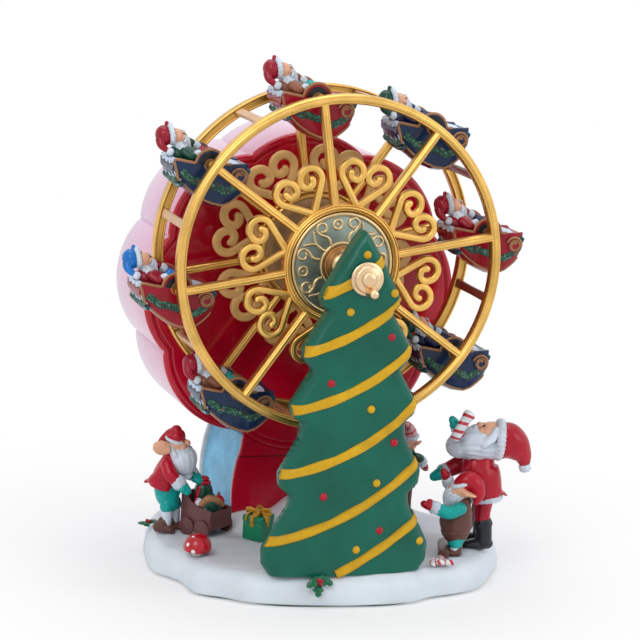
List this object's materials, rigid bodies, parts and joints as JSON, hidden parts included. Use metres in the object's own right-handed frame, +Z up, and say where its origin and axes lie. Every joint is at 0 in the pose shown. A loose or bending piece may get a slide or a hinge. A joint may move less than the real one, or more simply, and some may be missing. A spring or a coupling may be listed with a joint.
{
  "type": "wind-up musical ferris wheel",
  "caption": "Spring-driven musical toy: sleighs ride level in a turning double-rimmed wheel between a flat decorated tree and a lobed drum on a snowy base.",
  "frame": {"origin": "on the table, straight below the wheel's axle and level with the line the wheel turns about", "axes": "+Z up, -Y towards the viewer past the tree, +X to the viewer's right"},
  "size_m": [0.1841, 0.1649, 0.2242],
  "materials": {
    "snow": "painted cast resin, snow white",
    "felt": "dense felt",
    "screw_steel": "plain steel screws",
    "blue_resin": "pebbled painted resin",
    "red_gloss": "deep red gloss lacquer",
    "grey_resin": "pale painted resin",
    "cover_plastic": "dark red moulded plastic",
    "brass": "turned brass",
    "tree_green": "emerald green gloss paint on a casting",
    "garland_gold": "flat mustard gold paint",
    "gold_paint": "bright gold paint",
    "plate_brass": "brushed brass plate",
    "comb_steel": "hardened steel",
    "elf_red": "painted resin",
    "cart_brown": "painted resin",
    "gift_green": "painted resin",
    "mushroom_red": "painted resin",
    "holly_green": "painted resin",
    "vest_brown": "painted resin",
    "cane_white": "painted resin",
    "axle_steel": "ground steel",
    "dull_gold": "matt tan gold paint",
    "bronze": "aged bronze paint with raised relief",
    "rear_tan": "rough dark tan paint",
    "tie_tan": "tan paint",
    "pale_gold": "champagne gold paint",
    "spring_steel": "blued spring steel",
    "key_metal": "stamped brass",
    "sleigh_red": "red paint",
    "sleigh_blue": "blue paint"
  },
  "bodies": {
    "root": {"snow_base": "snow", "felt_pad": "felt", "base_screws": "screw_steel", "pedestal": "blue_resin", "pedestal_front": "red_gloss", "pedestal_back": "grey_resin", "drum_shell": "red_gloss", "back_cover": "cover_plastic", "cover_screws": "screw_steel", "drum_bush": "brass", "tree": "tree_green", "tree_garlands": "garland_gold", "tree_balls": "gold_paint", "tree_bush": "brass", "bedplate": "plate_brass", "movement_front_plate": "plate_brass", "comb": "comb_steel", "cart_elf": "elf_red", "cart": "cart_brown", "cart_gifts": "gift_green", "mushroom": "mushroom_red", "gift_box": "gift_green", "holly_sprig": "holly_green", "tall_figure": "elf_red", "apron_elf": "vest_brown", "peeking_elf": "gift_green", "candy_canes": "cane_white"},
    "wheel": {"axle": "axle_steel", "front_wheel": "gold_paint", "rear_wheel": "dull_gold", "front_medallion": "bronze", "rear_medallion": "rear_tan", "tie_bars": "tie_tan", "pivot_pins": "gold_paint", "hub_sleeve": "gold_paint", "crank": "pale_gold", "spring_barrel": "brass", "barrel_cap": "brass", "mainspring": "spring_steel"},
    "gondola_1": {"sleigh_1": "sleigh_red", "rider_1": "elf_red"},
    "gondola_2": {"sleigh_2": "sleigh_blue", "rider_2": "elf_red"},
    "gondola_3": {"sleigh_3": "sleigh_red", "rider_3": "elf_red"},
    "gondola_4": {"sleigh_4": "sleigh_blue", "rider_4": "elf_red"},
    "gondola_5": {"sleigh_5": "sleigh_red", "rider_5": "elf_red"},
    "gondola_6": {"sleigh_6": "sleigh_blue", "rider_6": "elf_red"},
    "gondola_7": {"sleigh_7": "sleigh_red", "rider_7": "elf_red"},
    "gondola_8": {"sleigh_8": "sleigh_blue", "rider_8": "elf_red"},
    "key": {"winding_arbor": "axle_steel", "winding_key": "key_metal"},
    "cylinder": {"tune_cylinder": "brass"},
    "governor": {"governor_fan": "brass"}
  },
  "joints": [
    {"name": "wheel_spin", "type": "hinge", "parent": "root", "child": "wheel", "pos_m": [0, 0, 0.14], "axis": [0, 1, 0], "continuous": true},
    {"name": "gondola_1_swing", "type": "hinge", "parent": "wheel", "child": "gondola_1", "pos_m": [0.06893, -0.00315, 0.15132], "axis": [0, 1, 0], "continuous": true},
    {"name": "gondola_2_swing", "type": "hinge", "parent": "wheel", "child": "gondola_2", "pos_m": [0.04073, -0.00315, 0.19675], "axis": [0, 1, 0], "continuous": true},
    {"name": "gondola_3_swing", "type": "hinge", "parent": "wheel", "child": "gondola_3", "pos_m": [-0.01132, -0.00315, 0.20893], "axis": [0, 1, 0], "continuous": true},
    {"name": "gondola_4_swing", "type": "hinge", "parent": "wheel", "child": "gondola_4", "pos_m": [-0.05674, -0.00315, 0.18073], "axis": [0, 1, 0], "continuous": true},
    {"name": "gondola_5_swing", "type": "hinge", "parent": "wheel", "child": "gondola_5", "pos_m": [-0.06893, -0.00315, 0.12868], "axis": [0, 1, 0], "continuous": true},
    {"name": "gondola_6_swing", "type": "hinge", "parent": "wheel", "child": "gondola_6", "pos_m": [-0.04073, -0.00315, 0.08325], "axis": [0, 1, 0], "continuous": true},
    {"name": "gondola_7_swing", "type": "hinge", "parent": "wheel", "child": "gondola_7", "pos_m": [0.01132, -0.00315, 0.07107], "axis": [0, 1, 0], "continuous": true},
    {"name": "gondola_8_swing", "type": "hinge", "parent": "wheel", "child": "gondola_8", "pos_m": [0.05674, -0.00315, 0.09927], "axis": [0, 1, 0], "continuous": true},
    {"name": "key_wind", "type": "hinge", "parent": "root", "child": "key", "pos_m": [0, 0.09, 0.14], "axis": [0, 1, 0], "continuous": true},
    {"name": "cylinder_spin", "type": "hinge", "parent": "root", "child": "cylinder", "pos_m": [-0.02206, 0.055, 0.11794], "axis": [0, 1, 0], "continuous": true},
    {"name": "governor_spin", "type": "hinge", "parent": "root", "child": "governor", "pos_m": [-0.03706, 0.055, 0.11794], "axis": [0, 1, 0], "continuous": true}
  ],
  "couplings": [
    {"joint": "gondola_1_swing", "follows": "wheel_spin", "ratio": -1},
    {"joint": "gondola_2_swing", "follows": "wheel_spin", "ratio": -1},
    {"joint": "gondola_3_swing", "follows": "wheel_spin", "ratio": -1},
    {"joint": "gondola_4_swing", "follows": "wheel_spin", "ratio": -1},
    {"joint": "gondola_5_swing", "follows": "wheel_spin", "ratio": -1},
    {"joint": "gondola_6_swing", "follows": "wheel_spin", "ratio": -1},
    {"joint": "gondola_7_swing", "follows": "wheel_spin", "ratio": -1},
    {"joint": "gondola_8_swing", "follows": "wheel_spin", "ratio": -1},
    {"joint": "cylinder_spin", "follows": "wheel_spin", "ratio": -3.3333},
    {"joint": "governor_spin", "follows": "wheel_spin", "ratio": 13.333}
  ]
}
